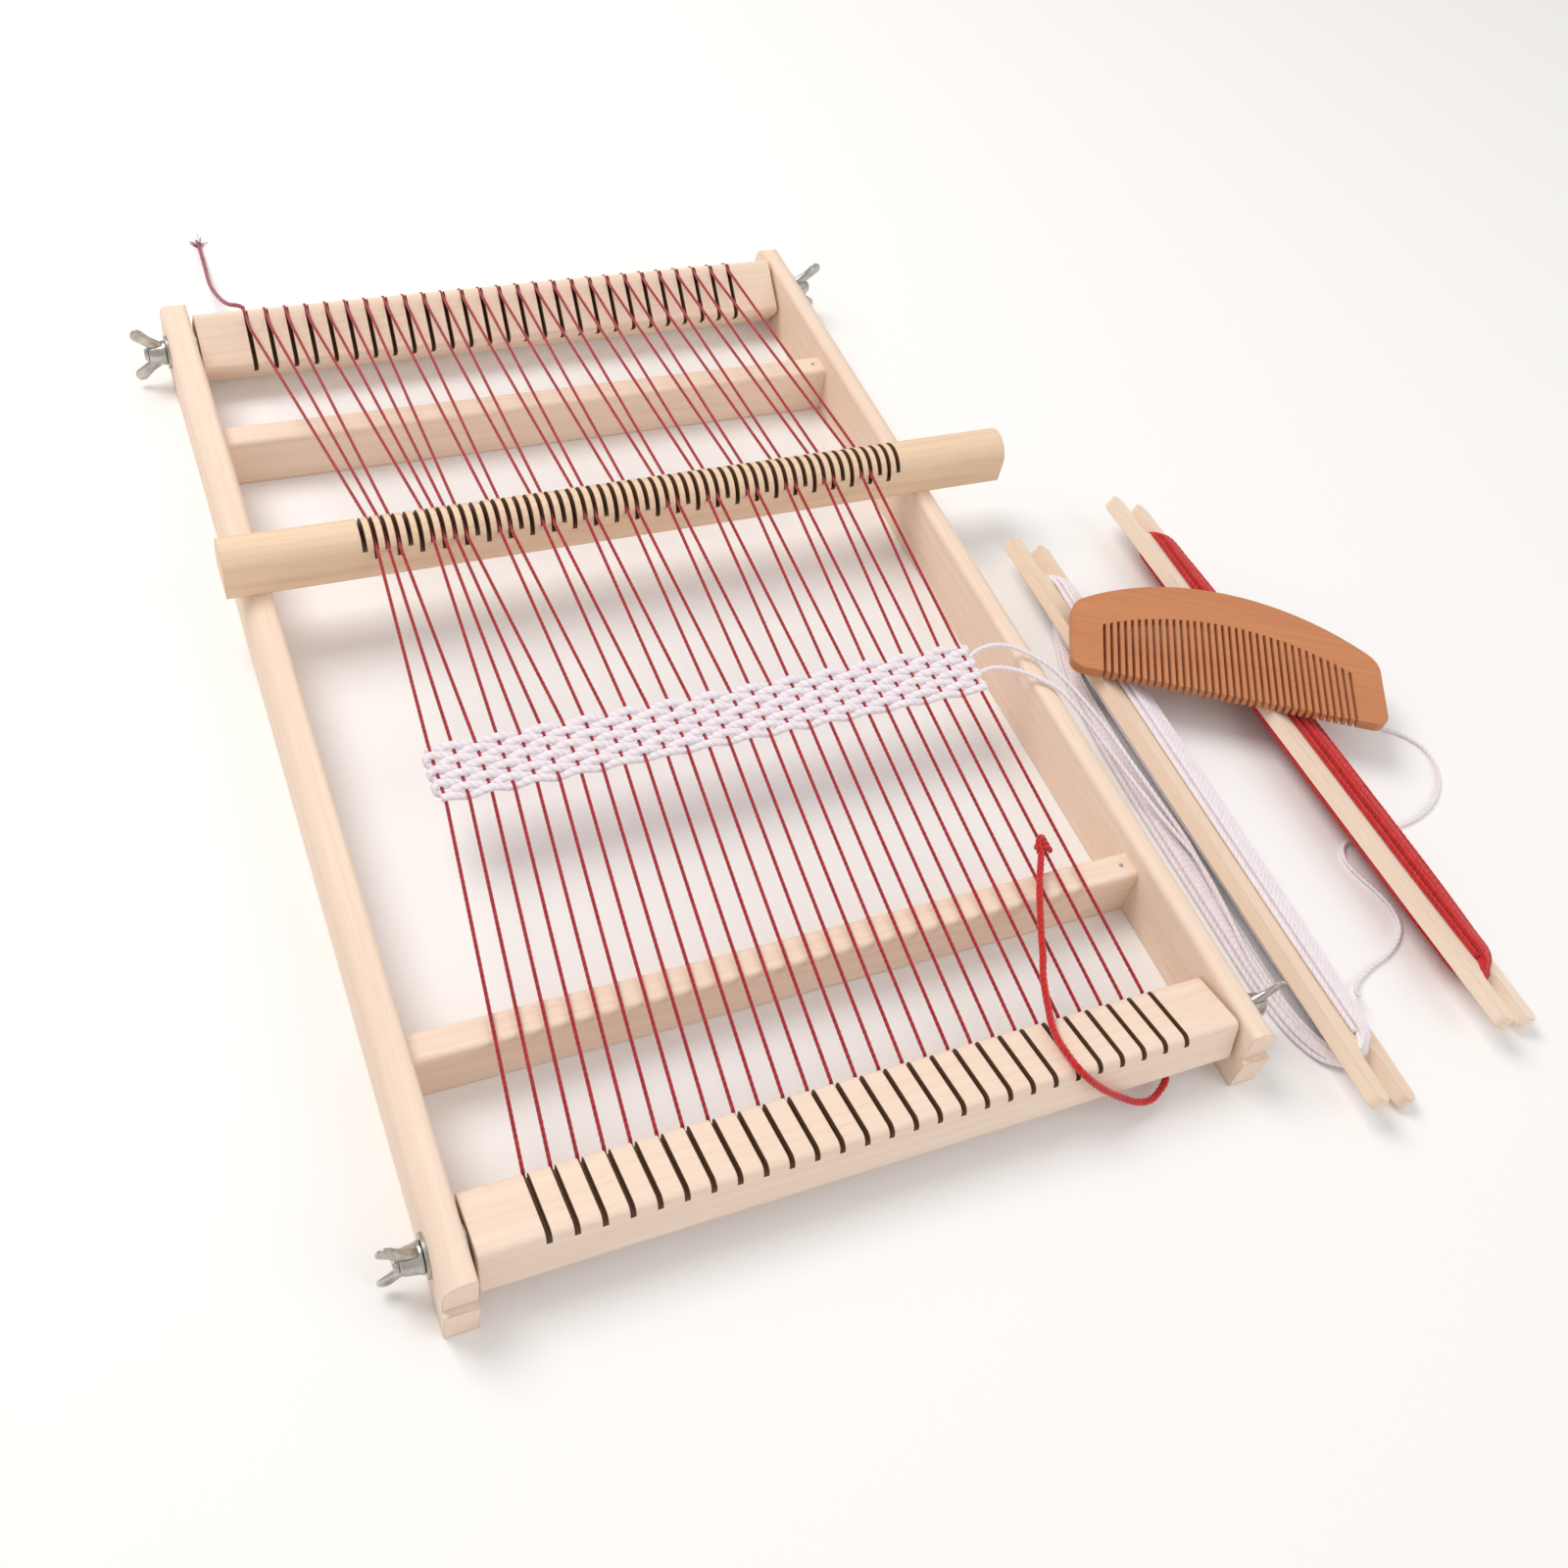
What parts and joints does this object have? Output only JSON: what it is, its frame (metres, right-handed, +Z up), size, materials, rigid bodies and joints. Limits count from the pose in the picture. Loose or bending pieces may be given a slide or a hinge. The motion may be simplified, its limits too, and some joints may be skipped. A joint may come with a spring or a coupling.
{
  "type": "table loom",
  "caption": "Small wooden frame loom with slotted warp beams, wing-nut clamps, a slotted heddle bar, a red warp with a first woven band, stick shuttles and a comb.",
  "frame": {"origin": "middle of the front stretcher's underside, on the table", "axes": "+X along the beams to the weaver's right, +Y along the rails away from the weaver, +Z up"},
  "size_m": [0.4043, 0.4895, 0.041],
  "materials": {
    "frame_wood": "sanded pale softwood, bare",
    "beam_wood": "sanded pale softwood, bare, with dark saw cuts",
    "heddle_wood": "smooth yellow-brown wood, bare, with dark saw cuts",
    "shuttle_wood": "thin pale wood, sanded",
    "comb_wood": "polished orange-brown wood",
    "steel": "bright zinc plate",
    "warp_yarn": "twisted red cotton",
    "red_yarn": "soft red yarn, slightly hairy",
    "tail_yarn": "dusty rose yarn, frayed",
    "white_yarn": "soft white yarn"
  },
  "bodies": {
    "frame": {"left_rail": "frame_wood", "right_rail": "frame_wood", "front_stretcher": "frame_wood", "rear_stretcher": "frame_wood", "stretcher_dowels": "frame_wood", "toe_nails": "steel", "inner_washers": "steel", "outer_washers": "steel", "warp_rear_span": "warp_yarn", "warp_back_even": "warp_yarn", "warp_back_odd": "warp_yarn", "warp_shed_odd": "warp_yarn", "warp_front_even": "warp_yarn", "warp_front_odd": "warp_yarn", "warp_in_band": "warp_yarn", "warp_front_span": "warp_yarn", "woven_band": "white_yarn", "warp_knot": "red_yarn", "warp_loop": "red_yarn", "warp_tail": "tail_yarn", "weft_yarn": "white_yarn", "weft_tail": "white_yarn", "shuttle_yarn": "white_yarn"},
    "front_beam": {"front_beam": "beam_wood", "front_beam_bolts": "steel", "warp_front_ends": "warp_yarn"},
    "rear_beam": {"rear_beam": "beam_wood", "rear_beam_bolts": "steel", "warp_rear_loops": "warp_yarn"},
    "wing_nut_front_left": {"wing_nut_front_left": "steel"},
    "wing_nut_front_right": {"wing_nut_front_right": "steel"},
    "wing_nut_rear_left": {"wing_nut_rear_left": "steel"},
    "wing_nut_rear_right": {"wing_nut_rear_right": "steel"},
    "heddle_bar": {"heddle_bar": "heddle_wood"},
    "shed": {"warp_shed_even": "warp_yarn"},
    "white_shuttle": {"white_shuttle": "shuttle_wood", "white_winding": "white_yarn"},
    "red_shuttle": {"red_shuttle": "shuttle_wood", "red_winding": "red_yarn"},
    "comb": {"comb": "comb_wood"}
  },
  "joints": [
    {"name": "front_beam_turn", "type": "hinge", "parent": "frame", "child": "front_beam", "pos_m": [0, -0.0555, 0.0135], "axis": [1, 0, 0], "range_deg": [-15, 15], "deforming": ["warp_front_span", "warp_loop", "warp_front_ends"]},
    {"name": "rear_beam_turn", "type": "hinge", "parent": "frame", "child": "rear_beam", "pos_m": [0, 0.3105, 0.0135], "axis": [1, 0, 0], "range_deg": [-15, 15], "deforming": ["warp_rear_span", "warp_tail", "warp_rear_loops"]},
    {"name": "heddle_tip", "type": "hinge", "parent": "frame", "child": "heddle_bar", "pos_m": [0.0105, 0.1695, 0.025], "axis": [1, 0, 0], "range_deg": [0, 11], "deforming": ["warp_shed_odd"]},
    {"name": "shed_lift", "type": "slide", "parent": "frame", "child": "shed", "axis": [0, 0, 1], "range_m": [0, 0.0029], "deforming": ["warp_back_even", "warp_front_even", "warp_shed_even"]},
    {"name": "wing_nut_front_left_turn", "type": "hinge", "parent": "front_beam", "child": "wing_nut_front_left", "pos_m": [-0.1291, -0.0555, 0.0135], "axis": [1, 0, 0], "continuous": true},
    {"name": "wing_nut_front_right_turn", "type": "hinge", "parent": "front_beam", "child": "wing_nut_front_right", "pos_m": [0.1291, -0.0555, 0.0135], "axis": [1, 0, 0], "continuous": true},
    {"name": "wing_nut_rear_left_turn", "type": "hinge", "parent": "rear_beam", "child": "wing_nut_rear_left", "pos_m": [-0.1291, 0.3105, 0.0135], "axis": [1, 0, 0], "continuous": true},
    {"name": "wing_nut_rear_right_turn", "type": "hinge", "parent": "rear_beam", "child": "wing_nut_rear_right", "pos_m": [0.1291, 0.3105, 0.0135], "axis": [1, 0, 0], "continuous": true},
    {"name": "white_shuttle_slide", "type": "slide", "parent": "frame", "child": "white_shuttle", "axis": [0, 1, 0], "range_m": [-0.03, 0.03], "deforming": ["weft_yarn", "weft_tail", "shuttle_yarn"]},
    {"name": "red_shuttle_slide", "type": "slide", "parent": "frame", "child": "red_shuttle", "axis": [0, 1, 0], "range_m": [-0.05, 0.05]},
    {"name": "comb_lift", "type": "slide", "parent": "frame", "child": "comb", "axis": [0, 0, 1], "range_m": [0, 0.1]}
  ],
  "couplings": [
    {"joint": "shed_lift", "follows": "heddle_tip", "m_per_rad": 0.0148}
  ]
}
